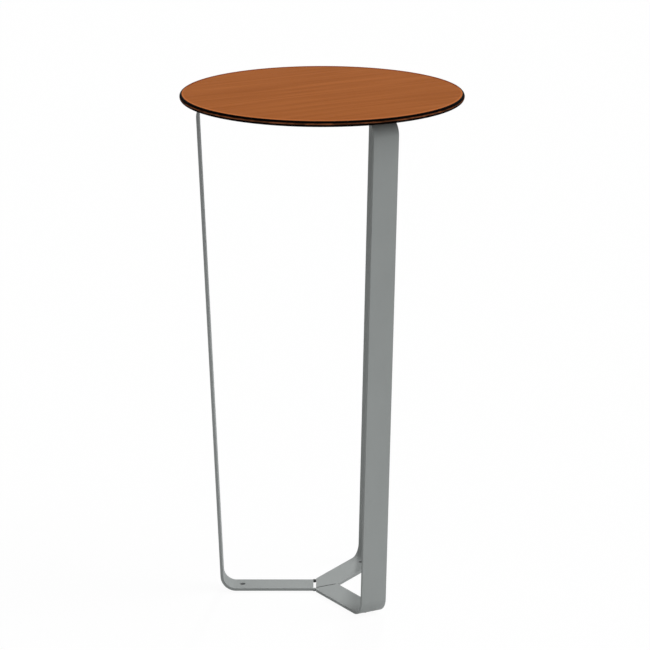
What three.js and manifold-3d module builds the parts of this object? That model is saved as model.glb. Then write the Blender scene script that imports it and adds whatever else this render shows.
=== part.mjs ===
// Standing meeting table: a round veneered top on three legs bent from flat steel bar.
// Millimetres, +Z up, origin on the floor under the middle of the top.
import * as THREE from 'three';
import { mergeVertices } from 'three/addons/utils/BufferGeometryUtils.js';
import Module from 'manifold-3d';

const wasm = await Module();
wasm.setup();

// Overall sizes
const tableHeight = 1100;
const topRadius = 300;

// Layers of the top, from the face down: veneer, three plies, veneer
const faceVeneerThickness = 0.6;
const plyThickness = 3.8;
const backingVeneerThickness = 0.6;

// Rim of the top: rounded over at the face and under at the back, widest in between
const rimWidestDepth = 6;
const rimFaceSetback = 5;
const rimBackSetback = 6;

// Flat bar of the legs
const barWidth = 60;
const barThickness = 6;
const barEdgeRound = 2.4;
const bendInnerRadius = 28;

// A leg's corners, where its outer face would meet its flange and its foot if the bends were sharp:
// the upper one lies inside the rim of the top, the lower one further in
const topOverhang = 34;
const legSlant = 47;
const flangeLength = 150;

// Middle of the star of feet: the left foot is cut square, a slot lies past its end, and the rear
// foot fills the space up to the narrow seam at the square end of the front foot. The setbacks are
// measured from the corners where the edges of neighbouring feet meet
const leftFootSetback = 1.6;
const slotWidth = 6;
const seamSetback = 2.4;
const seamWidth = 2;

// Welds in the corners of the star, sunk a little below the faces of the feet
const weldRadius = 3.8;
const weldInset = 1.2;
const weldSink = 0.8;

// Plastic glides, each with a stem in a hole of its foot
const glideRadius = 12.5;
const glideHeight = 4;
const glideEdgeRound = 1;
const glideInset = 46;
const stemHoleRadius = 6;
const stemRecess = 2;

// Countersunk machine screws, placed on the flange by their distance from the leg's outer corner,
// two of them by their distance from the edges of the bar too
const screwRadius = 3;
const screwLength = 12;
const screwHeadRadius = 6;
const socketWidth = 4;
const socketDepth = 2.2;
const outerScrewInset = 62;
const outerScrewMargin = 13;
const innerScrewInset = 126;

// Threaded inserts in the underside of the top
const insertRadius = 5;
const insertLength = 8;

// Clearance between pieces that fit together
const fitGap = 0.3;

// Facets
const rimSegments = 96;
const rimSteps = 3;
const bendSegments = 6;
const edgeSegments = 3;
const holeSegments = 24;
const insertSegments = 16;
const socketSides = 6;

// Reach of a cutting block past the piece that it cuts
const cutterReach = 100;
const cutterOverlap = 1;

// Levels of the top, from the face down
const faceLevel = tableHeight;
const upperPlyLevel = faceLevel - faceVeneerThickness;
const middlePlyLevel = upperPlyLevel - plyThickness;
const lowerPlyLevel = middlePlyLevel - plyThickness;
const backingLevel = lowerPlyLevel - plyThickness;
const undersideLevel = backingLevel - backingVeneerThickness;

// Levels of the legs
const footUnderside = glideHeight;
const footTop = footUnderside + barThickness;
const flangeTop = undersideLevel - fitGap;
const flangeUnderside = flangeTop - barThickness;

// Distances of a leg's corners and of its glide from the middle of the table
const legReachAtFlange = topRadius - topOverhang;
const legReachAtFoot = legReachAtFlange - legSlant;
const glideDistance = legReachAtFoot - glideInset;

// The star of feet: where the edges of neighbouring feet meet, measured along a foot and straight
// from the middle, and where the feet end on either side of the slot and of the seam
const footSpread = 2 * Math.PI / 3;
const cornerAlongFoot = barWidth / 2 / Math.tan(footSpread / 2);
const cornerDistance = barWidth / 2 / Math.sin(footSpread / 2);
const leftFootEnd = cornerAlongFoot + leftFootSetback;
const slotEnd = leftFootEnd - slotWidth;
const frontFootEnd = cornerAlongFoot - seamSetback + seamWidth / 2;
const rearFootEnd = frontFootEnd - seamWidth;

// Colours and finishes
const faceVeneerFinish = { color: 0xa35f35, roughness: 0.5, metalness: 0 };
const stainedPlyFinish = { color: 0x0b0908, roughness: 0.5, metalness: 0 };
const brownPlyFinish = { color: 0x5d3722, roughness: 0.6, metalness: 0 };
const backingVeneerFinish = { color: 0x2a221d, roughness: 0.6, metalness: 0 };
const powderCoatFinish = { color: 0x8c918f, roughness: 0.5, metalness: 0 };
const glideFinish = { color: 0x1b1b1c, roughness: 0.6, metalness: 0 };
const zincFinish = { color: 0xb4b6b8, roughness: 0.35, metalness: 1 };

// The three legs, by the direction in which each one stands from the middle
const leftAngle = Math.PI;
const frontAngle = leftAngle - 2 * footSpread;
const rearAngle = leftAngle - footSpread;

// A solid from a closed geometry: shared corners are merged and faces that collapse on an axis dropped
function toSolid(geometry) {
  const bare = geometry.clone();
  bare.deleteAttribute('normal');
  bare.deleteAttribute('uv');
  const merged = mergeVertices(bare);
  const corners = merged.index.array;
  const kept = [];
  for (let i = 0; i < corners.length; i += 3) {
    const [a, b, c] = corners.slice(i, i + 3);
    if (a !== b && b !== c && c !== a) {
      kept.push(a, b, c);
    }
  }
  return new wasm.Manifold(new wasm.Mesh({
    numProp: 3,
    vertProperties: new Float32Array(merged.attributes.position.array),
    triVerts: new Uint32Array(kept),
  }));
}

function toGeometry(solid) {
  const mesh = solid.getMesh();
  const geometry = new THREE.BufferGeometry();
  geometry.setAttribute('position', new THREE.BufferAttribute(mesh.vertProperties, 3));
  geometry.setIndex(new THREE.BufferAttribute(mesh.triVerts, 1));
  geometry.computeVertexNormals();
  return geometry;
}

function cut(geometry, cutters) {
  const solid = cutters.reduce((rest, cutter) => rest.subtract(toSolid(cutter)), toSolid(geometry));
  return toGeometry(solid);
}

// A turned piece from [radius, height] points, its axis standing up
function turned(points, segments) {
  const profile = points.map(([radius, height]) => new THREE.Vector2(radius, height));
  return new THREE.LatheGeometry(profile, segments).rotateX(Math.PI / 2);
}

function piece(name, geometry, finish) {
  const mesh = new THREE.Mesh(geometry, new THREE.MeshStandardMaterial(finish));
  mesh.name = name;
  return mesh;
}

// Rim of the top: radius at a depth below the face, along two quarter ellipses
function rimRadius(depth) {
  const backDepth = faceLevel - undersideLevel - rimWidestDepth;
  if (depth < rimWidestDepth) {
    const share = 1 - depth / rimWidestDepth;
    return topRadius - rimFaceSetback * (1 - Math.sqrt(1 - share * share));
  }
  const share = Math.min(1, (depth - rimWidestDepth) / backDepth);
  return topRadius - rimBackSetback * (1 - Math.sqrt(1 - share * share));
}

// One layer of the top between two levels, its edge following the rim
function topLayer(upperLevel, lowerLevel) {
  const points = [[0, lowerLevel]];
  for (let step = 0; step <= rimSteps; step += 1) {
    const level = step === rimSteps ? upperLevel : lowerLevel + (upperLevel - lowerLevel) * step / rimSteps;
    points.push([rimRadius(faceLevel - level), level]);
  }
  points.push([0, upperLevel]);
  return turned(points, rimSegments);
}

// Lean of the legs and the centres of their two bends, in the leg's own side view
const bendOuterRadius = bendInnerRadius + barThickness;
const lean = Math.atan2(legReachAtFlange - legReachAtFoot, flangeTop - footUnderside);
const lowerBend = {
  x: legReachAtFoot - bendOuterRadius * (1 - Math.sin(lean)) / Math.cos(lean),
  y: footUnderside + bendOuterRadius,
};
const upperBend = {
  x: legReachAtFlange - bendOuterRadius * (1 + Math.sin(lean)) / Math.cos(lean),
  y: flangeTop - bendOuterRadius,
};
const flangeEnd = legReachAtFlange - flangeLength;

// A bent bar standing along +X: its side outline runs from the foot up the outer face,
// over the flange and back down the inner face
function bentBar(footEnd) {
  const side = new THREE.Shape();
  side.moveTo(footEnd, footUnderside);
  side.absarc(lowerBend.x, lowerBend.y, bendOuterRadius, -Math.PI / 2, -lean, false);
  side.absarc(upperBend.x, upperBend.y, bendOuterRadius, -lean, Math.PI / 2, false);
  side.lineTo(flangeEnd, flangeTop);
  side.lineTo(flangeEnd, flangeUnderside);
  side.absarc(upperBend.x, upperBend.y, bendInnerRadius, Math.PI / 2, -lean, true);
  side.absarc(lowerBend.x, lowerBend.y, bendInnerRadius, -lean, -Math.PI / 2, true);
  side.lineTo(footEnd, footTop);
  side.closePath();
  const bar = new THREE.ExtrudeGeometry(side, {
    depth: barWidth - 2 * barEdgeRound,
    curveSegments: bendSegments,
    bevelThickness: barEdgeRound,
    bevelSize: barEdgeRound,
    bevelOffset: -barEdgeRound,
    bevelSegments: edgeSegments,
  });
  return bar.translate(0, 0, barEdgeRound - barWidth / 2).rotateX(Math.PI / 2);
}

// Screws of one flange, in the leg's own frame
const screwPlaces = [
  { x: legReachAtFlange - outerScrewInset, y: barWidth / 2 - outerScrewMargin },
  { x: legReachAtFlange - outerScrewInset, y: outerScrewMargin - barWidth / 2 },
  { x: legReachAtFlange - innerScrewInset, y: 0 },
];

// Countersunk hole through the flange, a clearance wider than the screw all round
function screwHole(place) {
  const holeRadius = screwRadius + fitGap;
  const mouthRadius = screwHeadRadius + fitGap * Math.SQRT2;
  const below = flangeUnderside - cutterOverlap;
  const above = flangeTop + cutterOverlap;
  const hole = turned([
    [0, below],
    [mouthRadius, below],
    [mouthRadius, flangeUnderside],
    [holeRadius, flangeUnderside + mouthRadius - holeRadius],
    [holeRadius, above],
    [0, above],
  ], holeSegments);
  return hole.translate(place.x, place.y, 0);
}

function stemHole() {
  const below = footUnderside - cutterOverlap;
  const above = footTop + cutterOverlap;
  const hole = turned([[0, below], [stemHoleRadius, below], [stemHoleRadius, above], [0, above]], holeSegments);
  return hole.translate(glideDistance, 0, 0);
}

// Cutting blocks at the middle of the star, placed on the whole table.
// A block drawn back by a margin leaves that much more of the feet.
const blockHeight = footTop + bendInnerRadius;

function slotBlock(margin) {
  const wall = slotEnd + margin;
  const block = new THREE.BoxGeometry(cutterReach, 2 * cutterReach, blockHeight);
  return block.translate(-wall - cutterReach / 2, 0, blockHeight / 2);
}

function seamBlock(margin) {
  const wall = rearFootEnd + margin;
  const block = new THREE.BoxGeometry(cutterReach, 2 * cutterReach, blockHeight);
  return block.translate(wall + cutterReach / 2, 0, blockHeight / 2).rotateZ(frontAngle);
}

// The feet: where each bar starts, and the blocks that trim it there.
// The rear bar starts past the middle, and its trims give it its end.
const rearFootStart = -barWidth;
const legs = [
  { name: 'left', angle: leftAngle, footEnd: leftFootEnd, trims: () => [] },
  { name: 'front', angle: frontAngle, footEnd: frontFootEnd, trims: (margin) => [slotBlock(margin)] },
  { name: 'rear', angle: rearAngle, footEnd: rearFootStart,
    trims: (margin) => [slotBlock(margin), seamBlock(margin)] },
];

function legBar(leg) {
  const trims = leg.trims(0).map((block) => block.rotateZ(-leg.angle));
  return cut(bentBar(leg.footEnd), [...trims, ...screwPlaces.map(screwHole), stemHole()]);
}

// Plan of a foot grown by the fit clearance, which keeps the welds clear of the bars
function grownFoot(leg) {
  const start = leg.footEnd - fitGap;
  const length = lowerBend.x - start;
  const plan = new THREE.BoxGeometry(length, barWidth + 2 * fitGap, blockHeight);
  plan.translate(start + length / 2, 0, blockHeight / 2).rotateZ(leg.angle);
  return cut(plan, leg.trims(fitGap));
}

// Weld bead in the corner between two neighbouring feet, in the whole table's frame
function cornerWeld(angle) {
  const below = footUnderside + weldSink;
  const above = footTop - weldSink;
  const bead = turned([[0, below], [weldRadius, below], [weldRadius, above], [0, above]], holeSegments);
  bead.translate(cornerDistance - weldInset, 0, 0).rotateZ(angle);
  return cut(bead, legs.map(grownFoot));
}

function glide() {
  const shoulder = footUnderside - fitGap;
  const stemRadius = stemHoleRadius - fitGap;
  const stemTop = footTop - stemRecess;
  const body = turned([
    [0, 0],
    [glideRadius - glideEdgeRound, 0],
    [glideRadius, glideEdgeRound],
    [glideRadius, shoulder],
    [stemRadius, shoulder],
    [stemRadius, stemTop],
    [0, stemTop],
  ], holeSegments);
  return body.translate(glideDistance, 0, 0);
}

// Countersunk screw pointing up, its head flush with the underside of the flange
function screw(place) {
  const body = turned([
    [0, flangeUnderside],
    [screwHeadRadius, flangeUnderside],
    [screwRadius, flangeUnderside + screwHeadRadius - screwRadius],
    [screwRadius, flangeUnderside + screwLength],
    [0, flangeUnderside + screwLength],
  ], insertSegments);
  const socketRadius = socketWidth / Math.sqrt(3);
  const socket = turned([
    [0, flangeUnderside - cutterOverlap],
    [socketRadius, flangeUnderside - cutterOverlap],
    [socketRadius, flangeUnderside + socketDepth],
    [0, flangeUnderside + socketDepth],
  ], socketSides);
  return cut(body, [socket]).translate(place.x, place.y, 0);
}

// Sleeve of a threaded insert, flush with the underside of the top
function insert(place) {
  const boreRadius = screwRadius + fitGap;
  const sleeve = turned([
    [boreRadius, undersideLevel],
    [insertRadius, undersideLevel],
    [insertRadius, undersideLevel + insertLength],
    [boreRadius, undersideLevel + insertLength],
    [boreRadius, undersideLevel],
  ], insertSegments);
  return sleeve.translate(place.x, place.y, 0);
}

// Blind hole for an insert, placed on the whole table
function insertHole(place, angle) {
  const radius = insertRadius + fitGap;
  const bottom = undersideLevel - cutterOverlap;
  const end = undersideLevel + insertLength + fitGap;
  const hole = turned([[0, bottom], [radius, bottom], [radius, end], [0, end]], insertSegments);
  return hole.translate(place.x, place.y, 0).rotateZ(angle);
}

const table = new THREE.Group();

// The top: face veneer, three plies and backing veneer, with the insert holes cut from below
const insertHoles = legs.flatMap((leg) => screwPlaces.map((place) => insertHole(place, leg.angle)));
table.add(piece('face_veneer', topLayer(faceLevel, upperPlyLevel), faceVeneerFinish));
const boredLayers = [
  { name: 'upper_ply', from: upperPlyLevel, to: middlePlyLevel, finish: stainedPlyFinish },
  { name: 'middle_ply', from: middlePlyLevel, to: lowerPlyLevel, finish: brownPlyFinish },
  { name: 'lower_ply', from: lowerPlyLevel, to: backingLevel, finish: stainedPlyFinish },
  { name: 'backing_veneer', from: backingLevel, to: undersideLevel, finish: backingVeneerFinish },
];
for (const layer of boredLayers) {
  table.add(piece(layer.name, cut(topLayer(layer.from, layer.to), insertHoles), layer.finish));
}

// Each leg with its glide, screws and inserts, turned to its direction
for (const leg of legs) {
  const group = new THREE.Group();
  group.rotation.z = leg.angle;
  group.add(piece(`${leg.name}_leg`, legBar(leg), powderCoatFinish));
  group.add(piece(`${leg.name}_glide`, glide(), glideFinish));
  screwPlaces.forEach((place, index) => {
    group.add(piece(`${leg.name}_screw_${index + 1}`, screw(place), zincFinish));
    group.add(piece(`${leg.name}_insert_${index + 1}`, insert(place), zincFinish));
  });
  table.add(group);
}

// The welds that tie the feet together, one in each corner of the star
const welds = [
  { name: 'left_rear_weld', angle: (leftAngle + rearAngle) / 2 },
  { name: 'left_front_weld', angle: (frontAngle - leftAngle) / 2 },
  { name: 'front_rear_weld', angle: (frontAngle + rearAngle) / 2 },
];
for (const weld of welds) {
  table.add(piece(weld.name, cornerWeld(weld.angle), powderCoatFinish));
}

export default table;
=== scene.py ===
# %% [markdown]
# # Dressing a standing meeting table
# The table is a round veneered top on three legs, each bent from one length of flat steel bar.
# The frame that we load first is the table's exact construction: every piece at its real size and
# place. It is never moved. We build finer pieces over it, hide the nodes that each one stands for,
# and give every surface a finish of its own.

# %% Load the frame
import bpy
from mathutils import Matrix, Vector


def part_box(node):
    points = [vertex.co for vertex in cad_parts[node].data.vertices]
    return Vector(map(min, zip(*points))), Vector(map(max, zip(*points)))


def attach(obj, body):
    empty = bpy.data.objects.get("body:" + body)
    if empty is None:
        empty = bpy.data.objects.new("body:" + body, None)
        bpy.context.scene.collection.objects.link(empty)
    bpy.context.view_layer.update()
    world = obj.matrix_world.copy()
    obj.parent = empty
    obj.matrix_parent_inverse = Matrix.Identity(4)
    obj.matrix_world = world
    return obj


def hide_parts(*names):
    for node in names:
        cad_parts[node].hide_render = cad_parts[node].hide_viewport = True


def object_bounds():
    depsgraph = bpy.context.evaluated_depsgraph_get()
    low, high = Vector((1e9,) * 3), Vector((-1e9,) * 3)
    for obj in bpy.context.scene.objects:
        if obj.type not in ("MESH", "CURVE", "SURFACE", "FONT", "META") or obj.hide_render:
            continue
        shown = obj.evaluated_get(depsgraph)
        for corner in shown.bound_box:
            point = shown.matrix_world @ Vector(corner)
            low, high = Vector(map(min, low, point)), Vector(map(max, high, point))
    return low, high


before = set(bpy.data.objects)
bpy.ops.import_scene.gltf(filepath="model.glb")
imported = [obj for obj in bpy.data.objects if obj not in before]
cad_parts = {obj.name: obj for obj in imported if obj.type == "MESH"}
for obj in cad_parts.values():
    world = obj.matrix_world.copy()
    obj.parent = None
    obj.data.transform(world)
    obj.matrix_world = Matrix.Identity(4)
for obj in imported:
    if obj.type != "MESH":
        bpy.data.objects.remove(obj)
cad_low, cad_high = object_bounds()
print("frame nodes:", len(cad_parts), "box:", cad_low[:], cad_high[:])

# %% Libraries and units
import math

import bmesh
import bpy
from mathutils import Color, Matrix, Vector

MM = 0.001
FULL_TURN = 2 * math.pi
UP = Vector((0, 0, 1))
scene = bpy.context.scene
scene.view_settings.view_transform = "Standard"
print("units: metres, one millimetre is", MM)

# %% [markdown]
# ## Camera
# A catalogue picture of a tall table is taken from far off with a long lens, so that the legs don't
# splay. The lens, the distance and the dip of this camera come from fitting the outline of a table
# 600 mm wide and 1100 mm high. The small shift puts the table a little left of the middle.

# %% Camera
IMAGE_WIDTH_PIXELS = 650
FOCAL_LENGTH_PIXELS = 3604.1
AXIS_LEFT_OF_MIDDLE_PIXELS = 2.95
CAMERA_DISTANCE = 7.4459
CAMERA_HEIGHT = 2.5851
CAMERA_DIP = math.radians(14.971)

camera_data = bpy.data.cameras.new("camera")
camera_data.lens = FOCAL_LENGTH_PIXELS * camera_data.sensor_width / IMAGE_WIDTH_PIXELS
camera_data.shift_x = AXIS_LEFT_OF_MIDDLE_PIXELS / IMAGE_WIDTH_PIXELS
camera = bpy.data.objects.new("camera", camera_data)
camera.location = (0, -CAMERA_DISTANCE, CAMERA_HEIGHT)
camera.rotation_euler = (math.pi / 2 - CAMERA_DIP, 0, 0)
scene.collection.objects.link(camera)
scene.camera = camera
print("lens:", round(camera_data.lens, 1), "mm")

# %% [markdown]
# ## Soft daylight and two lamps
# A dim sky fills the shadows. A broad key light stands on the right of the table, and a smaller lamp
# behind it throws the rear leg's shadow forward on its foot. Together they give a flat, upward face a
# light level of about one, so that a colour renders about as it is written. An azimuth is measured
# from the right hand side, towards the camera.

# %% Lights
SKY_LEVEL = 0.285
KEY_LEVEL = 0.54
KEY_ELEVATION = math.radians(50)
KEY_AZIMUTH = math.radians(3)
KEY_SPREAD = math.radians(45)
REAR_LAMP_LEVEL = 0.295
REAR_LAMP_ELEVATION = math.radians(50)
REAR_LAMP_AZIMUTH = math.radians(-84)
REAR_LAMP_SPREAD = math.radians(4)


def add_lamp(name, level, elevation, azimuth, spread):
    """A sun lamp that lights a face turned to it at the given level. Returns its share on a flat face."""
    direction = Vector((
        math.cos(elevation) * math.cos(azimuth),
        -math.cos(elevation) * math.sin(azimuth),
        math.sin(elevation),
    ))
    lamp_data = bpy.data.lights.new(name, "SUN")
    lamp_data.energy = math.pi * level
    lamp_data.angle = spread
    lamp = bpy.data.objects.new(name, lamp_data)
    lamp.rotation_mode = "QUATERNION"
    lamp.rotation_quaternion = direction.to_track_quat("Z", "Y")
    scene.collection.objects.link(lamp)
    return level * direction.z


key_share = add_lamp("key_light", KEY_LEVEL, KEY_ELEVATION, KEY_AZIMUTH, KEY_SPREAD)
rear_share = add_lamp(
    "rear_lamp", REAR_LAMP_LEVEL, REAR_LAMP_ELEVATION, REAR_LAMP_AZIMUTH, REAR_LAMP_SPREAD,
)
print("level on a flat face:", round(SKY_LEVEL + key_share + rear_share, 2))

# %% [markdown]
# ## Tools for materials
# Every finish starts from the Principled shader. What changes over a surface comes from noise on
# Object coordinates, whose unit is the metre, so a scale of 500 means 500 features to the metre.
# Effects that several finishes share are node groups with named inputs and outputs. The first
# helpers add one node each and return its output, ready to feed the next node.

# %% Node helpers
COLOUR_SCALE = 255


def srgb(red, green, blue):
    """A colour given on a 0 to 255 scale, as the linear values that shaders work in."""
    picked = Color((red / COLOUR_SCALE, green / COLOUR_SCALE, blue / COLOUR_SCALE))
    return (*picked.from_srgb_to_scene_linear(), 1)


def feed(tree, socket, value):
    """Links another node's output to a socket, or sets a plain value on it."""
    if isinstance(value, bpy.types.NodeSocket):
        tree.links.new(value, socket)
    else:
        socket.default_value = value


def add_math(tree, operation, *values):
    """A Math node on numbers or other nodes' outputs."""
    node = tree.nodes.new("ShaderNodeMath")
    node.operation = operation
    for socket, value in zip(node.inputs, values):
        feed(tree, socket, value)
    return node.outputs["Value"]


def add_vector_math(tree, operation, vector, *others):
    """A Vector Math node. Its result is a vector, or a number for a length or a dot product."""
    node = tree.nodes.new("ShaderNodeVectorMath")
    node.operation = operation
    for socket, value in zip(node.inputs, (vector, *others)):
        feed(tree, socket, value)
    return next(s for s in node.outputs if s.enabled)


def add_noise(tree, vector, stretch, detail=2.0, distortion=0.0):
    """Noise with its own number of features to the metre along X, Y and Z."""
    noise = tree.nodes.new("ShaderNodeTexNoise")
    noise.inputs["Scale"].default_value = 1
    noise.inputs["Detail"].default_value = detail
    noise.inputs["Distortion"].default_value = distortion
    tree.links.new(add_vector_math(tree, "MULTIPLY", vector, stretch), noise.inputs["Vector"])
    return noise.outputs["Fac"]


def add_range(tree, value, from_low, from_high, to_low, to_high, smooth=False):
    """Maps a value from one range to another, held at the ends."""
    node = tree.nodes.new("ShaderNodeMapRange")
    node.interpolation_type = "SMOOTHSTEP" if smooth else "LINEAR"
    limits = {"From Min": from_low, "From Max": from_high, "To Min": to_low, "To Max": to_high}
    for socket_name, limit in limits.items():
        node.inputs[socket_name].default_value = limit
    tree.links.new(value, node.inputs["Value"])
    return node.outputs["Result"]


def add_mix(tree, share, first, second):
    """Mixes two colours, each a value or another node's output."""
    node = tree.nodes.new("ShaderNodeMix")
    node.data_type = "RGBA"
    sockets = [s for s in node.inputs if s.enabled]
    for socket, value in zip(sockets, (share, first, second)):
        feed(tree, socket, value)
    return next(s for s in node.outputs if s.enabled)


print("helpers ready for nodes")

# %% Places on the table
def object_place(tree):
    """The point's place on the table, in metres."""
    return tree.nodes.new("ShaderNodeTexCoord").outputs["Object"]


def object_axes(tree):
    """The point's place as three separate outputs: X, Y and Z."""
    axes = tree.nodes.new("ShaderNodeSeparateXYZ")
    tree.links.new(object_place(tree), axes.inputs["Vector"])
    return axes.outputs


def distance_from_axis(tree):
    """How far a point lies from the table's upright axis."""
    flat = add_vector_math(tree, "MULTIPLY", object_place(tree), (1, 1, 0))
    return add_vector_math(tree, "LENGTH", flat)


print("helpers ready for places")

# %% Finish helpers
NOISE_SPAN = (0.3, 0.7)


def new_group(name, inputs, outputs):
    """A shader node group with the given sockets, and its input and output nodes."""
    group = bpy.data.node_groups.new(name, "ShaderNodeTree")
    for socket_name, kind, value in inputs:
        socket = group.interface.new_socket(socket_name, in_out="INPUT", socket_type=kind)
        if value is not None:
            socket.default_value = value
    for socket_name, kind in outputs:
        group.interface.new_socket(socket_name, in_out="OUTPUT", socket_type=kind)
    return group, group.nodes.new("NodeGroupInput"), group.nodes.new("NodeGroupOutput")


def add_group(tree, group, **values):
    """Places a node group in a tree, with its inputs set or linked by name."""
    node = tree.nodes.new("ShaderNodeGroup")
    node.node_tree = group
    for socket_name, value in values.items():
        feed(tree, node.inputs[socket_name.replace("_", " ")], value)
    return node


def new_finish(name, **constants):
    """A material with its Principled shader's plain numbers set. Returns it, its tree and its shader."""
    material = bpy.data.materials.new(name)
    material.use_nodes = True
    shader = material.node_tree.nodes["Principled BSDF"]
    for socket_name, value in constants.items():
        shader.inputs[socket_name.replace("_", " ")].default_value = value
    return material, material.node_tree, shader


def add_relief(tree, shader, height, heights, roughness, depth, strength):
    """Lets a height set the roughness and tilt the normal, as a relief of that depth does."""
    tree.links.new(add_range(tree, height, *heights, *roughness), shader.inputs["Roughness"])
    bump = tree.nodes.new("ShaderNodeBump")
    bump.inputs["Strength"].default_value = strength
    bump.inputs["Distance"].default_value = depth
    tree.links.new(height, bump.inputs["Height"])
    tree.links.new(bump.outputs["Normal"], shader.inputs["Normal"])


def lay_over(material, share, tone):
    """Lays a tone over a finish, by a share that runs from 0 to 1."""
    tree = material.node_tree
    base_color = tree.nodes["Principled BSDF"].inputs["Base Color"]
    tree.links.new(add_mix(tree, share, base_color.links[0].from_socket, tone), base_color)


print("most noise lies between", *NOISE_SPAN)

# %% [markdown]
# The background has to look white to the camera and in reflections, yet must not pour more light on
# the table. The Light Path node tells these rays apart from the ones that carry light, and the
# world's level follows it: 1 for what is seen, and the sky's own level for the light. That light
# leans to the front: it is nearly twice as strong there as on the average, and faint at the back.

# %% World
WHITE = (1, 1, 1, 1)
SKY_LEAN = 0.95
SKY_LEAN_AZIMUTH = math.radians(65)


def seen_rays(tree):
    """A socket that is 1 for rays of the camera, of reflections and through glass, and otherwise 0."""
    path = tree.nodes.new("ShaderNodeLightPath")
    seen = path.outputs["Is Camera Ray"]
    for kind in ("Is Glossy Ray", "Is Transmission Ray"):
        seen = add_math(tree, "MAXIMUM", seen, path.outputs[kind])
    return seen


world = bpy.data.worlds.new("studio")
world.use_nodes = True
scene.world = world
tree = world.node_tree
background = tree.nodes["Background"]
background.inputs["Color"].default_value = WHITE
sky_direction = tree.nodes.new("ShaderNodeTexCoord").outputs["Generated"]
brightest = (math.cos(SKY_LEAN_AZIMUTH), -math.sin(SKY_LEAN_AZIMUTH), 0)
towards_brightest = add_vector_math(tree, "DOT_PRODUCT", sky_direction, brightest)
sky = add_math(tree, "MULTIPLY_ADD", towards_brightest, SKY_LEVEL * SKY_LEAN, SKY_LEVEL)
seen = seen_rays(tree)
unseen_sky = add_math(tree, "MULTIPLY", sky, add_math(tree, "SUBTRACT", 1, seen))
tree.links.new(add_math(tree, "ADD", seen, unseen_sky), background.inputs["Strength"])
print("sky level:", SKY_LEVEL, "background level: 1")

# %% [markdown]
# ## Floor
# The floor is a sheet of white paper that throws light back up on the table. The light it throws
# fades a few metres away, so the feet get more of it than the upper ends of the legs, and it is
# brighter at the front on the right than at the back on the left. For the camera most of its white
# comes from emission and only a small share from the light that falls on it, so it reads as white
# with a faint shadow. From below it lets the camera through, to show the underside.

# %% Floor paper
PAPER_DIM_TONE = 0.68
PAPER_BRIGHT_TONE = 1.0
PAPER_TURN = 0.6
PAPER_EDGE_START = 2.5
PAPER_EDGE_END = 9
FLOOR_SHADED_SHARE = 0.045

floor_material = bpy.data.materials.new("floor_paper")
floor_material.use_nodes = True
tree = floor_material.node_tree
tree.nodes.clear()
seen = seen_rays(tree)
axes = object_axes(tree)
to_front_right = add_math(tree, "SUBTRACT", axes["X"], axes["Y"])
side_tone = add_range(
    tree, to_front_right, -PAPER_TURN, PAPER_TURN, PAPER_DIM_TONE, PAPER_BRIGHT_TONE, smooth=True,
)
nearness = add_range(
    tree, distance_from_axis(tree), PAPER_EDGE_START, PAPER_EDGE_END, 1, 0, smooth=True,
)
thrown = add_math(tree, "MULTIPLY", side_tone, nearness)
seen_change = add_math(tree, "SUBTRACT", FLOOR_SHADED_SHARE, thrown)
paper = tree.nodes.new("ShaderNodeBsdfDiffuse")
tree.links.new(add_math(tree, "MULTIPLY_ADD", seen, seen_change, thrown), paper.inputs["Color"])
glow = tree.nodes.new("ShaderNodeEmission")
tree.links.new(add_math(tree, "MULTIPLY", seen, 1 - FLOOR_SHADED_SHARE), glow.inputs["Strength"])
both = tree.nodes.new("ShaderNodeAddShader")
tree.links.new(paper.outputs["BSDF"], both.inputs[0])
tree.links.new(glow.outputs["Emission"], both.inputs[1])
clear = tree.nodes.new("ShaderNodeBsdfTransparent")
backfacing = tree.nodes.new("ShaderNodeNewGeometry").outputs["Backfacing"]
floor_side = tree.nodes.new("ShaderNodeMixShader")
tree.links.new(add_math(tree, "MULTIPLY", backfacing, seen), floor_side.inputs["Fac"])
tree.links.new(both.outputs["Shader"], floor_side.inputs[1])
tree.links.new(clear.outputs["BSDF"], floor_side.inputs[2])
floor_output = tree.nodes.new("ShaderNodeOutputMaterial")
tree.links.new(floor_side.outputs["Shader"], floor_output.inputs["Surface"])
print("floor paper:", len(tree.nodes), "nodes")

# %% Floor sheet
FLOOR_SIZE = 60
FLOOR_DROP = 0.2 * MM

floor_shape = bmesh.new()
bmesh.ops.create_grid(floor_shape, x_segments=1, y_segments=1, size=FLOOR_SIZE / 2)
bmesh.ops.translate(floor_shape, verts=floor_shape.verts[:], vec=(0, 0, -FLOOR_DROP))
floor_mesh = bpy.data.meshes.new("floor")
floor_shape.to_mesh(floor_mesh)
floor_shape.free()
floor_mesh.materials.append(floor_material)
floor = bpy.data.objects.new("floor", floor_mesh)
scene.collection.objects.link(floor)
print("floor:", FLOOR_SIZE, "m wide")

# %% [markdown]
# ## Wood veneer
# A sliced veneer shows long, soft streaks of earlier and later wood and, close up, fine pores that
# lie along the grain. Noise stretched along one direction gives all three at different widths. The
# group is used for the face and for the backing sheet, each with its own tones.

# %% Wood grain group
BROAD_STREAKS = (3, 58, 58)
BROAD_SHARE = 0.56
BROAD_WAVER = 0.4
NARROW_STREAKS = (5, 210, 210)
NARROW_SHARE = 0.44
PORES = (70, 1500, 1500)
PORE_SPAN = (0.60, 0.74)

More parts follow.
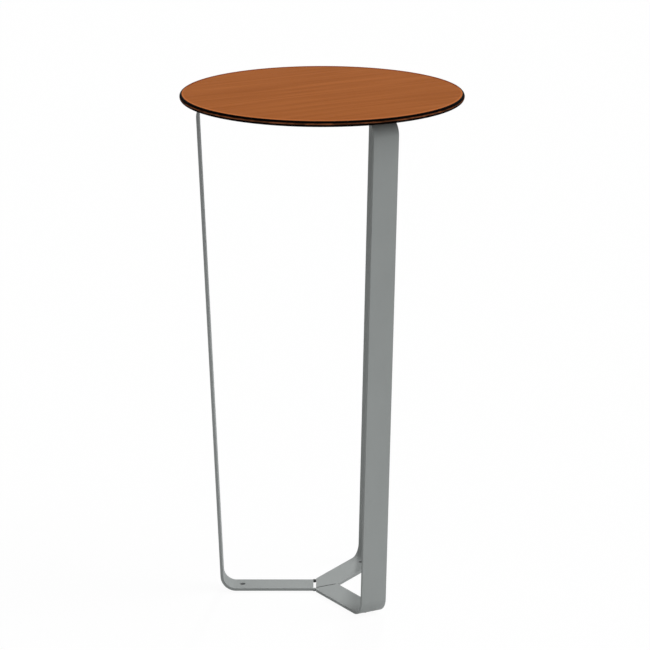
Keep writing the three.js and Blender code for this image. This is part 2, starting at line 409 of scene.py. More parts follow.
wood_grain, grain_in, grain_out = new_group(
    "wood_grain",
    [
        ("Place", "NodeSocketVector", None),
        ("Light Tone", "NodeSocketColor", WHITE),
        ("Dark Tone", "NodeSocketColor", WHITE),
        ("Pore Tone", "NodeSocketColor", WHITE),
        ("Pore Share", "NodeSocketFloat", 1.0),
    ],
    [("Color", "NodeSocketColor"), ("Height", "NodeSocketFloat")],
)
given = grain_in.outputs
broad = add_noise(wood_grain, given["Place"], BROAD_STREAKS, detail=3, distortion=BROAD_WAVER)
narrow = add_noise(wood_grain, given["Place"], NARROW_STREAKS)
pores = add_noise(wood_grain, given["Place"], PORES, detail=1)
broad_part = add_range(wood_grain, broad, *NOISE_SPAN, 0, BROAD_SHARE)
narrow_part = add_range(wood_grain, narrow, *NOISE_SPAN, 0, NARROW_SHARE)
streaks = add_math(wood_grain, "ADD", broad_part, narrow_part)
streak_tone = add_mix(wood_grain, streaks, given["Light Tone"], given["Dark Tone"])
pore_mask = add_range(wood_grain, pores, *PORE_SPAN, 0, 1)
pore_part = add_math(wood_grain, "MULTIPLY", pore_mask, given["Pore Share"])
wood_tone = add_mix(wood_grain, pore_part, streak_tone, given["Pore Tone"])
wood_grain.links.new(wood_tone, grain_out.inputs["Color"])
wood_height = add_math(wood_grain, "SUBTRACT", 1.0, pore_mask)
wood_grain.links.new(wood_height, grain_out.inputs["Height"])
print("wood grain group:", len(wood_grain.nodes), "nodes")

# %% [markdown]
# The veneers' grain runs 30 degrees off the table's X axis. A Mapping node turns the noise, so that
# its long direction follows the grain. The pores are a little rougher than the lacquer between them.

# %% Face and backing veneer
GRAIN_ANGLE = math.radians(30)


def grain_place(tree):
    """Object coordinates turned so that X runs along the grain."""
    turn = tree.nodes.new("ShaderNodeMapping")
    turn.vector_type = "TEXTURE"
    turn.inputs["Rotation"].default_value = (0, 0, GRAIN_ANGLE)
    tree.links.new(object_place(tree), turn.inputs["Vector"])
    return turn.outputs["Vector"]


def veneer_finish(name, specular, roughness, depth, strength, **grain_values):
    """A veneer in the tones given, whose roughness and relief follow its pores."""
    material, tree, shader = new_finish(name, Specular_IOR_Level=specular)
    grain = add_group(tree, wood_grain, Place=grain_place(tree), **grain_values)
    tree.links.new(grain.outputs["Color"], shader.inputs["Base Color"])
    add_relief(tree, shader, grain.outputs["Height"], (0, 1), roughness, depth, strength)
    return material


face_finish = veneer_finish(
    "face_veneer_lacquer",
    specular=0.004,
    roughness=(0.62, 0.48),
    depth=0.03 * MM,
    strength=0.4,
    Light_Tone=srgb(173, 101, 50),
    Dark_Tone=srgb(147, 81, 33),
    Pore_Tone=srgb(114, 59, 24),
    Pore_Share=0.25,
)
backing_finish = veneer_finish(
    "backing_veneer_stain",
    specular=0.05,
    roughness=(0.72, 0.58),
    depth=0.04 * MM,
    strength=0.5,
    Light_Tone=srgb(66, 50, 41),
    Dark_Tone=srgb(48, 37, 30),
    Pore_Tone=srgb(24, 19, 16),
    Pore_Share=0.5,
)
print("veneers:", face_finish.name, backing_finish.name)

# %% [markdown]
# A narrow band at the face veneer's rim is painted with light and shade: a painted highlight, paler
# along the front and the ends, and painted shade, darker at the back. The rim is stained after it
# has been rounded, so the sheet's own edge, past the flat face, is black.

# %% Rim of the face veneer
FLAT_FACE_RADIUS = 295 * MM
RIM_BAND_AT_ENDS = 3 * MM
RIM_BAND_AT_FRONT = 14 * MM
RIM_BAND_FULL_SHARE = 0.5
RIM_BACK_START = 10 * MM
RIM_BACK_FULL = 90 * MM
# Painted highlight along the front and the ends, painted shade at the back of the rim.
RIM_PAINTED_HIGHLIGHT_TONE = (184, 106, 53)
RIM_PAINTED_SHADE_TONE = (132, 55, 5)
STAIN_LAP = 0.2 * MM
STAIN_TONE = (8, 7, 6)

tree = face_finish.node_tree
place_y = object_axes(tree)["Y"]
from_axis = distance_from_axis(tree)
off_middle = add_math(tree, "ABSOLUTE", place_y)
band_width = add_range(tree, off_middle, 0, FLAT_FACE_RADIUS, RIM_BAND_AT_ENDS, RIM_BAND_AT_FRONT)
from_edge = add_math(tree, "SUBTRACT", FLAT_FACE_RADIUS, from_axis)
across_band = add_math(tree, "DIVIDE", from_edge, band_width)
# The band of painted light and shade, laid over the veneer near the rim.
painted_light_band = add_range(tree, across_band, RIM_BAND_FULL_SHARE, 1, 1, 0, smooth=True)
at_back = add_range(tree, place_y, RIM_BACK_START, RIM_BACK_FULL, 0, 1, smooth=True)
painted_light_tone = add_mix(tree, at_back, srgb(*RIM_PAINTED_HIGHLIGHT_TONE), srgb(*RIM_PAINTED_SHADE_TONE))
lay_over(face_finish, painted_light_band, painted_light_tone)
stain_end = FLAT_FACE_RADIUS + STAIN_LAP
past_face = add_range(tree, from_axis, FLAT_FACE_RADIUS, stain_end, 0, 1, smooth=True)
lay_over(face_finish, past_face, srgb(*STAIN_TONE))
print("painted light band at the rim:", RIM_BAND_AT_ENDS / MM, "to", RIM_BAND_AT_FRONT / MM, "mm wide")

# %% [markdown]
# ## Plies
# The rim shows the board's layers: a black-stained ply, a brown one and a black one. A cut ply edge
# is made of hair-thin lines that lie flat in the board, so noise with nearly a thousand features to
# the metre in height and only a few along the rim draws broken, streaky lines. The stain of the
# lowest ply has crept up into the brown one, which leaves only its upper part brown.

# %% Ply edge group
PLY_LINES = (45, 45, 900)
PLY_LINE_SPAN = (0.35, 0.65)
PLY_LINE_SHARE = 0.35
PLY_PATCHES = (40, 40, 260)
PLY_PATCH_SPAN = (0.42, 0.58)
PLY_PATCH_SHARE = 0.65

ply_edge, ply_in, ply_out = new_group(
    "ply_edge",
    [
        ("Place", "NodeSocketVector", None),
        ("Light Tone", "NodeSocketColor", WHITE),
        ("Dark Tone", "NodeSocketColor", WHITE),
    ],
    [("Color", "NodeSocketColor"), ("Height", "NodeSocketFloat")],
)
given = ply_in.outputs
lines = add_noise(ply_edge, given["Place"], PLY_LINES)
patches = add_noise(ply_edge, given["Place"], PLY_PATCHES)
line_part = add_range(ply_edge, lines, *PLY_LINE_SPAN, 0, PLY_LINE_SHARE)
patch_part = add_range(ply_edge, patches, *PLY_PATCH_SPAN, 0, PLY_PATCH_SHARE)
dark_part = add_math(ply_edge, "ADD", line_part, patch_part)
ply_tone = add_mix(ply_edge, dark_part, given["Light Tone"], given["Dark Tone"])
ply_edge.links.new(ply_tone, ply_out.inputs["Color"])
ply_edge.links.new(lines, ply_out.inputs["Height"])
print("ply edge group:", len(ply_edge.nodes), "nodes")

# %% Stained and brown ply
PLY_SPECULAR = 0.002
PLY_RELIEF_DEPTH = 0.05 * MM
PLY_RELIEF_STRENGTH = 0.4
BROWN_STAINED_BELOW = 1092.6 * MM
STAIN_CREEP = 0.8 * MM


def ply_finish(name, light_tone, dark_tone, roughness, stained_below=0):
    """A ply's cut edge in two tones, its roughness following the lines, black below a level."""
    material, tree, shader = new_finish(name, Specular_IOR_Level=PLY_SPECULAR)
    place, light, dark = object_place(tree), srgb(*light_tone), srgb(*dark_tone)
    edge = add_group(tree, ply_edge, Place=place, Light_Tone=light, Dark_Tone=dark)
    tree.links.new(edge.outputs["Color"], shader.inputs["Base Color"])
    lines = edge.outputs["Height"]
    add_relief(tree, shader, lines, NOISE_SPAN, roughness, PLY_RELIEF_DEPTH, PLY_RELIEF_STRENGTH)
    height, stain_start = object_axes(tree)["Z"], stained_below + STAIN_CREEP
    stain = add_range(tree, height, stained_below, stain_start, 1, 0, smooth=True)
    lay_over(material, stain, srgb(*STAIN_TONE))
    return material


stained_finish = ply_finish("stained_ply_edge", (10, 8, 7), (4, 3, 3), roughness=(0.42, 0.6))
brown_finish = ply_finish(
    "brown_ply_edge", (150, 90, 57), (52, 28, 16), roughness=(0.5, 0.7), stained_below=BROWN_STAINED_BELOW,
)
print("plies:", stained_finish.name, brown_finish.name)

# %% [markdown]
# ## Powder coat, plastic and zinc
# Baked powder leaves a satin skin with a fine orange-peel relief and hardly any change of tone. A
# second, dark grey finish paints the shade on a weld that lies deep in a corner. One node group
# gives the relief and the slow clouding, and the plastic and the zinc use it too.

# %% Fine relief group
CLOUDS_PER_METRE = (14, 14, 9)

fine_relief, relief_in, relief_out = new_group(
    "fine_relief",
    [("Place", "NodeSocketVector", None), ("Grains per Metre", "NodeSocketFloat", 1000.0)],
    [("Height", "NodeSocketFloat"), ("Cloud", "NodeSocketFloat")],
)
given = relief_in.outputs
peel = add_noise(fine_relief, given["Place"], given["Grains per Metre"])
cloud = add_noise(fine_relief, given["Place"], CLOUDS_PER_METRE, detail=3)
fine_relief.links.new(peel, relief_out.inputs["Height"])
fine_relief.links.new(cloud, relief_out.inputs["Cloud"])
print("fine relief group:", len(fine_relief.nodes), "nodes")

# %% Coats, plastic and zinc
def relief_finish(name, tones, grains, roughness, depth, strength, follows="Cloud", **constants):
    """A finish with a fine relief, in two tones that follow one of the relief's outputs."""
    material, tree, shader = new_finish(name, **constants)
    relief = add_group(tree, fine_relief, Place=object_place(tree), Grains_per_Metre=grains)
    share = add_range(tree, relief.outputs[follows], *NOISE_SPAN, 0, 1)
    first, second = (srgb(*tone) for tone in tones)
    tree.links.new(add_mix(tree, share, first, second), shader.inputs["Base Color"])
    add_relief(tree, shader, relief.outputs["Height"], NOISE_SPAN, roughness, depth, strength)
    return material


coat = {
    "grains": 1400.0,
    "roughness": (0.44, 0.54),
    "depth": 0.03 * MM,
    "strength": 0.35,
    "Specular_IOR_Level": 0.1,
}
coat_finish = relief_finish("grey_powder_coat", [(152, 156, 155), (149, 153, 152)], **coat)
# A dark grey that paints the shade on the weld deep in the slot.
shade_painted_weld_finish = relief_finish("weld_painted_shade", [(88, 90, 89), (76, 78, 77)], **coat)
glide_finish = relief_finish(
    "black_glide_plastic",
    [(26, 26, 27), (33, 33, 34)],
    grains=2500.0,
    roughness=(0.5, 0.68),
    depth=0.03 * MM,
    strength=0.5,
    Specular_IOR_Level=0.3,
)
zinc_finish = relief_finish(
    "bright_zinc",
    [(172, 175, 178), (196, 197, 196)],
    grains=900.0,
    roughness=(0.26, 0.42),
    depth=0.02 * MM,
    strength=0.3,
    follows="Height",
    Metallic=1.0,
)
for finish in (coat_finish, shade_painted_weld_finish, glide_finish, zinc_finish):
    print("finish:", finish.name)

# %% [markdown]
# ## Tools for shapes
# A piece is made in a bmesh and handed over by one function, which merges doubles, turns the faces
# outwards, smooths what is round and hides the frame nodes that the piece stands for. Turned pieces
# come from a profile that is spun round the Z axis.

# %% Shape helpers
MERGE_DISTANCE = 0.002 * MM
SHARP_ANGLE = math.radians(35)


def tidy(shape):
    """Merges doubled corners and turns every face outwards."""
    bmesh.ops.remove_doubles(shape, verts=shape.verts[:], dist=MERGE_DISTANCE)
    bmesh.ops.dissolve_degenerate(shape, edges=shape.edges[:], dist=MERGE_DISTANCE)
    bmesh.ops.recalc_face_normals(shape, faces=shape.faces[:])
    return shape


def turned(profile, steps):
    """A piece turned round the Z axis from points of radius and height, closed on the axis."""
    shape = bmesh.new()
    corners = [shape.verts.new((radius, 0, height)) for radius, height in profile]
    edges = [shape.edges.new(pair) for pair in zip(corners, corners[1:])]
    bmesh.ops.spin(
        shape, geom=corners + edges, cent=(0, 0, 0), axis=UP, angle=FULL_TURN, steps=steps, use_merge=True
    )
    return tidy(shape)


def add_piece(shape, name, finish, slot, *nodes):
    """Makes a bmesh a piece of the table that stands for the named nodes."""
    mesh = bpy.data.meshes.new(name)
    tidy(shape).to_mesh(mesh)
    shape.free()
    mesh.materials.append(finish)
    mesh.shade_smooth()
    mesh.set_sharp_from_angle(angle=SHARP_ANGLE)
    piece = bpy.data.objects.new(name, mesh)
    scene.collection.objects.link(piece)
    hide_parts(*nodes)
    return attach(piece, "root")


print("helpers ready for shapes")

# %% [markdown]
# ## The round top
# The top's edge is rounded over at the face and under at the back: two quarter ellipses that meet at
# the widest place. One angle runs along both, so every layer takes its share of the same rim and the
# layers line up. Each layer is a profile spun in 288 steps.

# %% Layers of the top
TOP_RADIUS = cad_high.x
TOP_LEVEL = cad_high.z
RIM_WIDEST_DEPTH = 6 * MM
RIM_FACE_SETBACK = 5 * MM
RIM_BACK_SETBACK = 6 * MM
RIM_STEPS = 10
TOP_STEPS = 288

underside_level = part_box("backing_veneer")[0].z
rim_back_depth = TOP_LEVEL - underside_level - RIM_WIDEST_DEPTH


def rim_turn(depth):
    """The angle along the rim at a depth below the face: 0 at the face, a half turn at the back."""
    if depth <= RIM_WIDEST_DEPTH:
        return math.acos(1 - depth / RIM_WIDEST_DEPTH)
    return math.acos(max(-1, (RIM_WIDEST_DEPTH - depth) / rim_back_depth))


def rim_point(turn):
    """Radius and height of the rim at an angle along it."""
    above = turn <= math.pi / 2
    setback = RIM_FACE_SETBACK if above else RIM_BACK_SETBACK
    height = RIM_WIDEST_DEPTH if above else rim_back_depth
    radius = TOP_RADIUS - setback * (1 - math.sin(turn))
    return radius, TOP_LEVEL - RIM_WIDEST_DEPTH + height * math.cos(turn)


def top_layer(node):
    """One layer of the top between the levels of its node, its edge following the rim."""
    low, high = (corner.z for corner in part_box(node))
    start, end = rim_turn(TOP_LEVEL - high), rim_turn(TOP_LEVEL - low)
    rim = [rim_point(start + (end - start) * step / RIM_STEPS) for step in range(RIM_STEPS + 1)]
    return turned([(0, high), *rim, (0, low)], TOP_STEPS)


print("rim turns:", round(rim_turn(0), 3), round(rim_turn(TOP_LEVEL - underside_level), 3))

# %% [markdown]
# ## Boring holes
# The plies are bored for threaded inserts, the flanges for screws and the feet for the stems of the
# glides. A Boolean modifier cuts a tool from a shape. We read the cut mesh back at once, so that no
# tool is left in the scene.

# %% Boring
def temporary_object(shape):
    """An object that only holds a shape while a modifier works on it."""
    mesh = bpy.data.meshes.new("temporary")
    shape.to_mesh(mesh)
    shape.free()
    holder = bpy.data.objects.new("temporary", mesh)
    scene.collection.objects.link(holder)
    return holder


def carve(shape, tools):
    """The shape with the tools cut away from it. Both bmeshes are used up."""
    body = temporary_object(shape)
    cutter = temporary_object(tools)
    boolean = body.modifiers.new("carve", "BOOLEAN")
    boolean.operation = "DIFFERENCE"
    boolean.solver = "EXACT"
    boolean.object = cutter
    carved = bmesh.new()
    carved.from_object(body, bpy.context.evaluated_depsgraph_get())
    for holder in (body, cutter):
        mesh = holder.data
        bpy.data.objects.remove(holder)
        bpy.data.meshes.remove(mesh)
    return carved


def gather(shapes):
    """Several bmeshes in one."""
    whole = bmesh.new()
    for shape in shapes:
        mesh = bpy.data.meshes.new("temporary")
        shape.to_mesh(mesh)
        shape.free()
        whole.from_mesh(mesh)
        bpy.data.meshes.remove(mesh)
    return whole


def moved(shape, matrix):
    """The shape in another place."""
    bmesh.ops.transform(shape, matrix=matrix, verts=shape.verts[:])
    return shape


print("helpers ready for boring")

# %% [markdown]
# The legs stand at three angles round the middle. Each flange is held by three screws, two side by
# side near the bend and one nearer the middle. Their places are worked out on a leg that points
# along X and then turned to its own angle.

# %% Places of legs, screws and inserts
HALF_LEG_SPACING = math.pi / 3
LEG_ANGLES = {"left": math.pi, "front": -HALF_LEG_SPACING, "rear": HALF_LEG_SPACING}
TOP_OVERHANG = 34 * MM
OUTER_SCREW_INSET = 62 * MM
OUTER_SCREW_MARGIN = 13 * MM
INNER_SCREW_INSET = 126 * MM
INSERT_RADIUS = 5 * MM
INSERT_LENGTH = 8 * MM
FIT_GAP = 0.3 * MM
HOLE_STEPS = 48
TOOL_OVERLAP = 1 * MM

leg_reach_at_flange = TOP_RADIUS - TOP_OVERHANG
left_low, left_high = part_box("left_leg")
bar_width = left_high.y - left_low.y
screw_places = [
    Vector((leg_reach_at_flange - OUTER_SCREW_INSET, bar_width / 2 - OUTER_SCREW_MARGIN, 0)),
    Vector((leg_reach_at_flange - OUTER_SCREW_INSET, OUTER_SCREW_MARGIN - bar_width / 2, 0)),
    Vector((leg_reach_at_flange - INNER_SCREW_INSET, 0, 0)),
]
leg_turns = {name: Matrix.Rotation(angle, 4, "Z") for name, angle in LEG_ANGLES.items()}


def insert_holes():
    """Nine blind holes in the underside of the top."""
    radius = INSERT_RADIUS + FIT_GAP
    low, high = underside_level - TOOL_OVERLAP, underside_level + INSERT_LENGTH + FIT_GAP
    profile = [(0, low), (radius, low), (radius, high), (0, high)]
    places = [turn @ Matrix.Translation(place) for turn in leg_turns.values() for place in screw_places]
    return gather([moved(turned(profile, HOLE_STEPS), place) for place in places])


print("screws per leg:", len(screw_places))

# %% The five layers
add_piece(top_layer("face_veneer"), "face_veneer_sheet", face_finish, "face_veneer", "face_veneer")
bored_layers = {
    "upper_ply": (stained_finish, "stained_ply"),
    "middle_ply": (brown_finish, "brown_ply"),
    "lower_ply": (stained_finish, "stained_ply"),
    "backing_veneer": (backing_finish, "backing_veneer"),
}
for node, (finish, slot) in bored_layers.items():
    layer = carve(top_layer(node), insert_holes())
    piece = add_piece(layer, node + "_sheet", finish, slot, node)
    print(piece.name, "faces:", len(piece.data.polygons))

# %% [markdown]
# ## Legs of bent flat bar
# A smith bends each leg from one straight bar, and we do the same: a bar's section with rounded
# corners is drawn out along the foot, swung round the lower bend, drawn up the leaning upright,
# swung round the upper bend and drawn back along the flange. Spin makes the bends, extrude the rest.

# %% Sizes of the bar
BAR_THICKNESS = 6 * MM
BAR_EDGE_ROUND = 0.9 * MM
BAR_EDGE_STEPS = 4
ROUND_PROFILE = 0.5
END_ROUND = 0.6 * MM
BEND_INNER_RADIUS = 28 * MM
BEND_STEPS = 20
LEG_SLANT = 47 * MM
FLANGE_LENGTH = 150 * MM

leg_reach_at_foot = leg_reach_at_flange - LEG_SLANT
foot_underside, flange_top = left_low.z, left_high.z
foot_top = foot_underside + BAR_THICKNESS
flange_underside = flange_top - BAR_THICKNESS
bend_outer_radius = BEND_INNER_RADIUS + BAR_THICKNESS
lean = math.atan2(leg_reach_at_flange - leg_reach_at_foot, flange_top - foot_underside)
lower_bend = Vector((
    leg_reach_at_foot - bend_outer_radius * (1 - math.sin(lean)) / math.cos(lean),
    0,
    foot_underside + bend_outer_radius,
))
upper_bend = Vector((
    leg_reach_at_flange - bend_outer_radius * (1 + math.sin(lean)) / math.cos(lean),
    0,
    flange_top - bend_outer_radius,
))
print("bar:", round(bar_width / MM, 2), "x", BAR_THICKNESS / MM, "mm")
print("lean:", round(math.degrees(lean), 2), "degrees")

# %% Bending a bar
def drop_if_inside(shape, face):
    """Deletes a face that an extrusion left inside the bar, where three faces meet at every edge."""
    if all(len(edge.link_faces) > 2 for edge in face.edges):
        bmesh.ops.delete(shape, geom=[face], context="FACES_ONLY")


def draw_out(shape, face, path):
    """Extrudes the end face of a bar along a path and returns the new end."""
    grown = bmesh.ops.extrude_face_region(shape, geom=[face])["geom"]
    bmesh.ops.translate(shape, verts=[v for v in grown if isinstance(v, bmesh.types.BMVert)], vec=path)
    drop_if_inside(shape, face)
    return next(f for f in grown if isinstance(f, bmesh.types.BMFace))


def swing(shape, face, centre, angle):
    """Spins the end face of a bar upwards round a bend's centre and returns the new end."""
    swung = bmesh.ops.spin(
        shape, geom=[face], cent=centre, axis=(0, -1, 0), angle=angle, steps=BEND_STEPS
    )["geom_last"]
    drop_if_inside(shape, face)
    return next(f for f in swung if isinstance(f, bmesh.types.BMFace))


def straight_foot():
    """The foot of a leg along +X, from past the middle of the star to the lower bend."""
    shape = bmesh.new()
    half = bar_width / 2
    section = [(-half, foot_underside), (half, foot_underside), (half, foot_top), (-half, foot_top)]
    shape.faces.new([shape.verts.new((-bar_width, across, height)) for across, height in section])
    bmesh.ops.bevel(
        shape, geom=shape.verts[:], offset=BAR_EDGE_ROUND, offset_type="OFFSET", affect="VERTICES",
        segments=BAR_EDGE_STEPS, profile=ROUND_PROFILE,
    )
    draw_out(shape, shape.faces[:][0], Vector((lower_bend.x + bar_width, 0, 0)))
    return tidy(shape)


def bend_up(shape):
    """Carries a foot on into its upright and its flange, and rounds the flange's end."""
    end = max(shape.faces, key=lambda face: face.calc_center_median().x)
    end = swing(shape, end, lower_bend, math.pi / 2 - lean)
    end = draw_out(shape, end, upper_bend - lower_bend)
    end = swing(shape, end, upper_bend, math.pi / 2 + lean)
    end = draw_out(shape, end, Vector((leg_reach_at_flange - FLANGE_LENGTH - upper_bend.x, 0, 0)))
    bmesh.ops.bevel(
        shape, geom=end.edges[:], offset=END_ROUND, offset_type="OFFSET", affect="EDGES",
        segments=BAR_EDGE_STEPS, profile=ROUND_PROFILE, clamp_overlap=False,
    )
    return tidy(shape)


def report_and_free(shape, name):
    """Prints how many faces and open edges a trial shape has, and drops it."""
    open_edges = [edge for edge in shape.edges if not edge.is_manifold]
    print(name, "faces:", len(shape.faces), "open edges:", len(open_edges))
    shape.free()


report_and_free(bend_up(straight_foot()), "bar")

# %% [markdown]
# The feet meet in a star. The left foot is cut square and stops short of a slot. The front foot is
# cut square too, and the rear foot fills the space up to a narrow seam at its end. A plane cuts each
# bar, and two tilted planes break the cut's sharp edges.

# %% Cutting the feet
LEFT_FOOT_SETBACK = 1.6 * MM
SLOT_WIDTH = 6 * MM
SEAM_SETBACK = 2.4 * MM
SEAM_WIDTH = 2 * MM
CUT_CHAMFER = 0.4 * MM

right = Vector((1, 0, 0))
front = leg_turns["front"] @ right
corner_along_foot = bar_width / 2 / math.tan(HALF_LEG_SPACING)
left_foot_end = corner_along_foot + LEFT_FOOT_SETBACK
front_foot_end = corner_along_foot - SEAM_SETBACK + SEAM_WIDTH / 2
slot_wall = (right * (SLOT_WIDTH - left_foot_end), -right)
foot_walls = {
    "left": [(right * -left_foot_end, right)],
    "front": [(front * front_foot_end, -front), slot_wall],
    "rear": [slot_wall, (front * (front_foot_end - SEAM_WIDTH), front)],
}


def cut_by(shape, point, outward):
    """Cuts away what lies outside a plane and closes the cut."""
    everything = shape.verts[:] + shape.edges[:] + shape.faces[:]
    cut = bmesh.ops.bisect_plane(
        shape, geom=everything, plane_co=point, plane_no=outward, clear_outer=True
    )["geom_cut"]
    bmesh.ops.holes_fill(shape, edges=[e for e in cut if isinstance(e, bmesh.types.BMEdge)], sides=0)


def cut_foot(shape, wall):
    """Cuts a foot with an upright wall and breaks the upper and lower edge of the cut."""
    point, outward = wall
    cut_by(shape, point, outward)
    for level, way in ((foot_top, UP), (foot_underside, -UP)):
        corner = Vector((point.x, point.y, level)) - way * CUT_CHAMFER
        cut_by(shape, corner, (outward + way).normalized())


def trimmed_bar(name):
    """A leg's bar along +X, with its foot cut to fit the star."""
    shape = moved(straight_foot(), leg_turns[name])
    for wall in foot_walls[name]:
        cut_foot(shape, wall)
    return bend_up(moved(tidy(shape), leg_turns[name].inverted()))


for name in LEG_ANGLES:
    report_and_free(trimmed_bar(name), name)

# %% [markdown]
# The seam between the front and rear feet lies in shade, and we paint that shade: a dark tone laid
# over the coat on both sides of the seam's upright plane. It fades out near the ends, because a
# coated weld fills one of them and the open slot lies at the other.

# %% Painted shade in the seam
SEAM_SHADE_REACH = 2.2 * MM
SEAM_SHADE_HALF_LENGTH = 20 * MM
SEAM_SHADE_END = 28 * MM
SEAM_PAINTED_SHADE_TONE = (40, 41, 41)


def distance_off(tree, way, place):
    """How far a point lies from an upright plane that crosses a way at a place along it."""
    along = add_vector_math(tree, "DOT_PRODUCT", object_place(tree), way)
    return add_math(tree, "ABSOLUTE", add_math(tree, "SUBTRACT", along, place))


tree = coat_finish.node_tree
off_seam = distance_off(tree, front, front_foot_end - SEAM_WIDTH / 2)
off_middle = distance_off(tree, UP.cross(front), 0)
beside = add_range(tree, off_seam, SEAM_WIDTH / 2, SEAM_SHADE_REACH, 1, 0)
between_ends = add_range(tree, off_middle, SEAM_SHADE_HALF_LENGTH, SEAM_SHADE_END, 1, 0)
# Painted shade: the coat darkened on both sides of the seam.
lay_over(coat_finish, add_math(tree, "MULTIPLY", beside, between_ends), srgb(*SEAM_PAINTED_SHADE_TONE))
print("painted shade lies up to", SEAM_SHADE_REACH / MM, "mm from the middle of the seam")

# %% [markdown]
# Each foot is bored for the stem of its glide, and each flange is bored and countersunk from below
# for its screws. A turned tool with a flared end cuts a hole and breaks its edge in one go. A Weighted
# Normal modifier keeps the wide faces flat next to their rounded edges.

# %% Boring and placing the legs
GLIDE_INSET = 46 * MM
STEM_HOLE_RADIUS = 6 * MM
STEM_HOLE_FLARE = 0.3 * MM
SCREW_RADIUS = 3 * MM
SCREW_HEAD_RADIUS = 6 * MM
glide_distance = leg_reach_at_foot - GLIDE_INSET


def stem_hole():
    """A tool for the hole of a glide's stem, flared at both faces of the foot."""
    wide = STEM_HOLE_RADIUS + STEM_HOLE_FLARE
    profile = [
        (0, foot_underside - TOOL_OVERLAP),
        (wide, foot_underside - TOOL_OVERLAP),
        (wide, foot_underside),
        (STEM_HOLE_RADIUS, foot_underside + STEM_HOLE_FLARE),
        (STEM_HOLE_RADIUS, foot_top - STEM_HOLE_FLARE),
        (wide, foot_top),
        (wide, foot_top + TOOL_OVERLAP),
        (0, foot_top + TOOL_OVERLAP),
    ]
    return moved(turned(profile, HOLE_STEPS), Matrix.Translation((glide_distance, 0, 0)))


def screw_hole(place):
    """A tool for a countersunk hole through the flange, a clearance wider than its screw."""
    hole = SCREW_RADIUS + FIT_GAP
    mouth = SCREW_HEAD_RADIUS + FIT_GAP * math.sqrt(2)
    profile = [
        (0, flange_underside - TOOL_OVERLAP),
        (mouth, flange_underside - TOOL_OVERLAP),
        (mouth, flange_underside),
        (hole, flange_underside + mouth - hole),
        (hole, flange_top + TOOL_OVERLAP),
        (0, flange_top + TOOL_OVERLAP),
    ]
    return moved(turned(profile, HOLE_STEPS), Matrix.Translation(place))


for name in LEG_ANGLES:
    tools = gather([stem_hole()] + [screw_hole(place) for place in screw_places])
    bar = tidy(carve(trimmed_bar(name), tools))
    node = name + "_leg"
    piece = add_piece(moved(bar, leg_turns[name]), node + "_bar", coat_finish, "powder_coat", node)
    flat_faces = piece.modifiers.new("flat_faces", "WEIGHTED_NORMAL")
    flat_faces.keep_sharp = True
    print(piece.name, "faces:", len(piece.data.polygons))

# %% [markdown]
# ## Welds
# Three short welds tie the feet together in the corners of the star. A weld grows in overlapping
# puddles, so its side is rippled. The bead is turned from a wavy profile and sinks into both bars,
# as weld metal does, with its top just under the level of the feet. Two beads are coated with the
# feet. The one at the rear end of the slot sits in shade, and a dark grey finish paints that shade.

# %% Welds
WELD_RADIUS = 3.8 * MM
WELD_INSET = 1.2 * MM
WELD_RIPPLE = 0.25 * MM
WELD_PUDDLES = 3
WELD_PROFILE_STEPS = 24
WELD_STEPS = 40
WELD_SINK = 0.15 * MM
# The weld at the rear end of the slot gets the dark grey of painted shade.
weld_finishes = {
    ("left", "rear"): shade_painted_weld_finish,
    ("left", "front"): coat_finish,
    ("front", "rear"): coat_finish,
}


def weld_bead():
    """A rippled bead nearly as tall as the feet are thick, standing on the Z axis."""
    low, high = foot_underside + WELD_SINK, foot_top - WELD_SINK
    profile = [(0, low)]
    for step in range(WELD_PROFILE_STEPS + 1):
        share = step / WELD_PROFILE_STEPS
        ripple = WELD_RIPPLE * abs(math.sin(math.pi * WELD_PUDDLES * share))
        profile.append((WELD_RADIUS - WELD_RIPPLE + ripple, low + (high - low) * share))
    profile.append((0, high))
    return turned(profile, WELD_STEPS)


corner_distance = bar_width / 2 / math.sin(HALF_LEG_SPACING)
for pair, finish in weld_finishes.items():
    outward = sum(((leg_turns[name] @ right) for name in pair), Vector()).normalized()
    place = Matrix.Translation(outward * (corner_distance - WELD_INSET))
    node = "_".join(pair) + "_weld"
    add_piece(moved(weld_bead(), place), node + "_bead", finish, "powder_coat", node)
    print(node, "at", [round(value / MM, 1) for value in place.translation])

# %% [markdown]
# ## Glides
# A glide is a moulded plug of black plastic: a rounded foot and a stem that is pressed into the hole
# of the foot. The stem's end shows at the bottom of the hole, with the small dimple that the mould
# leaves. Quarter circles in the profile give it its rounded edges.

# %% Glides
GLIDE_RADIUS = 12.5 * MM
GLIDE_FOOT_ROUND = 1.2 * MM
GLIDE_SHOULDER_ROUND = 0.4 * MM
STEM_RECESS = 1.4 * MM
STEM_DIMPLE_RADIUS = 2.5 * MM
STEM_DIMPLE_DEPTH = 0.6 * MM
ROUND_STEPS = 5


def rounded_corner(radius, level, size, upward=False):
    """A quarter circle in a profile, at a corner at a level. Its side runs up from there, or down."""
    centre_radius = radius - size
    centre_level = level + size if upward else level - size
    start = -math.pi / 2 if upward else 0
    angles = [start + math.pi / 2 * step / ROUND_STEPS for step in range(ROUND_STEPS + 1)]
    return [(centre_radius + size * math.cos(a), centre_level + size * math.sin(a)) for a in angles]


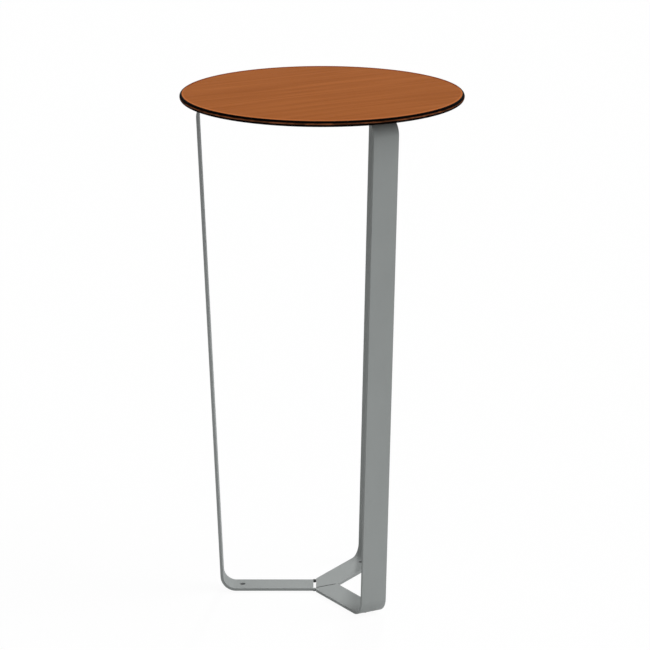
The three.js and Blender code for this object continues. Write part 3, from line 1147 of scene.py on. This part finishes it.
def glide():
    """A glide on the Z axis, from the floor up into its foot."""
    shoulder = foot_underside - FIT_GAP
    stem_radius = STEM_HOLE_RADIUS - FIT_GAP
    stem_top = foot_top - STEM_RECESS
    profile = [
        (0, cad_low.z),
        *rounded_corner(GLIDE_RADIUS, cad_low.z, GLIDE_FOOT_ROUND, upward=True),
        *rounded_corner(GLIDE_RADIUS, shoulder, GLIDE_SHOULDER_ROUND),
        (stem_radius, shoulder),
        *rounded_corner(stem_radius, stem_top, GLIDE_SHOULDER_ROUND),
        (STEM_DIMPLE_RADIUS, stem_top),
        (0, stem_top - STEM_DIMPLE_DEPTH),
    ]
    return turned(profile, HOLE_STEPS)


for name in LEG_ANGLES:
    place = leg_turns[name] @ Matrix.Translation((glide_distance, 0, 0))
    add_piece(moved(glide(), place), name + "_glide_plug", glide_finish, "glide_plastic", name + "_glide")
print("glides stand on", round(cad_low.z, 4))

# %% [markdown]
# ## Screws and inserts
# The flanges are held by countersunk screws with a six-sided socket, which show from below. The head
# is turned, and a tool with six steps cuts the socket. Screws side by side seldom stop at the same
# turn, so each one in a flange is twisted further than the last. The inserts lie hidden in the
# board, so their frame nodes stay and only get the zinc finish.

# %% Screws
SCREW_LENGTH = 12 * MM
SCREW_HEAD_LAND = 0.5 * MM
SOCKET_WIDTH = 4 * MM
SOCKET_DEPTH = 2.2 * MM
SOCKET_SIDES = 6
SOCKET_FLARE = 0.25 * MM
SCREW_TWIST = math.radians(23)


def screw():
    """A countersunk screw on the Z axis, its head flush with the underside of the flange."""
    cone_top = flange_underside + SCREW_HEAD_RADIUS - SCREW_RADIUS
    tip = flange_underside + SCREW_LENGTH
    body = turned([
        (0, flange_underside),
        (SCREW_HEAD_RADIUS - SCREW_HEAD_LAND / 2, flange_underside),
        (SCREW_HEAD_RADIUS, flange_underside + SCREW_HEAD_LAND / 2),
        (SCREW_HEAD_RADIUS - SCREW_HEAD_LAND / 2, flange_underside + SCREW_HEAD_LAND),
        (SCREW_RADIUS, cone_top),
        (SCREW_RADIUS, tip),
        (0, tip),
    ], HOLE_STEPS)
    socket_radius = SOCKET_WIDTH / math.sqrt(3)
    socket = turned([
        (0, flange_underside - TOOL_OVERLAP),
        (socket_radius + SOCKET_FLARE, flange_underside - TOOL_OVERLAP),
        (socket_radius + SOCKET_FLARE, flange_underside),
        (socket_radius, flange_underside + SOCKET_FLARE),
        (socket_radius, flange_underside + SOCKET_DEPTH - socket_radius / 2),
        (0, flange_underside + SOCKET_DEPTH),
    ], SOCKET_SIDES)
    return carve(body, socket)


for name in LEG_ANGLES:
    for index, place in enumerate(screw_places):
        twist = Matrix.Rotation(SCREW_TWIST * index, 4, "Z")
        node = f"{name}_screw_{index + 1}"
        shape = moved(screw(), leg_turns[name] @ Matrix.Translation(place) @ twist)
        add_piece(shape, node + "_countersunk", zinc_finish, "zinc_steel", node)
        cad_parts[f"{name}_insert_{index + 1}"].material_slots[0].material = zinc_finish
print("screws and inserts:", len(LEG_ANGLES) * len(screw_places))
